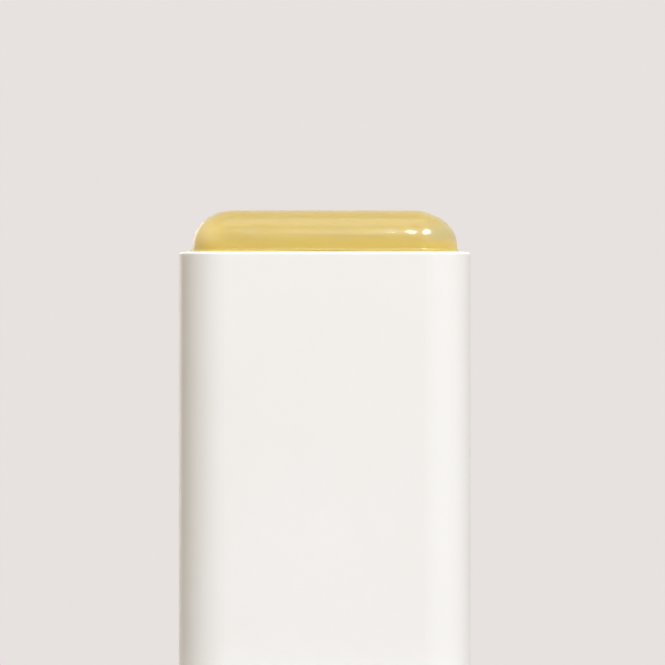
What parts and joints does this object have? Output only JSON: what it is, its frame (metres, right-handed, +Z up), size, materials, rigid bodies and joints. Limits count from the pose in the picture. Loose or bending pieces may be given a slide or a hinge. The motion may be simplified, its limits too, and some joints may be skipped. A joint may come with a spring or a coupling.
{
  "type": "sunscreen stick",
  "caption": "Flat twist-up sunscreen stick, cap off: yellow balm with a rounded crown in a plain white barrel, on a base with a toothed dial.",
  "frame": {"origin": "middle of the base, on the surface that the stick stands on", "axes": "+Z up the stick, towards the balm's crown; X across its width; the broad front faces -Y"},
  "size_m": [0.0408, 0.0236, 0.0775],
  "materials": {
    "white_plastic": "smooth satin",
    "natural_plastic": "smooth, unpigmented",
    "seal": "smooth",
    "balm": "waxy, slightly translucent"
  },
  "bodies": {
    "barrel": {"barrel": "white_plastic", "base_shell": "white_plastic", "seal_ring": "seal"},
    "dial": {"dial": "white_plastic", "screw": "natural_plastic"},
    "carrier": {"holder": "natural_plastic", "balm": "balm"}
  },
  "joints": [
    {"name": "dial_turn", "type": "hinge", "parent": "barrel", "child": "dial", "pos_m": [0, 0, 0], "axis": [0, 0, 1], "range_deg": [0, 5040]},
    {"name": "balm_rise", "type": "slide", "parent": "barrel", "child": "carrier", "axis": [0, 0, 1], "range_m": [0, 0.042]}
  ],
  "couplings": [
    {"joint": "dial_turn", "follows": "balm_rise", "rad_per_m": 2094.4}
  ]
}
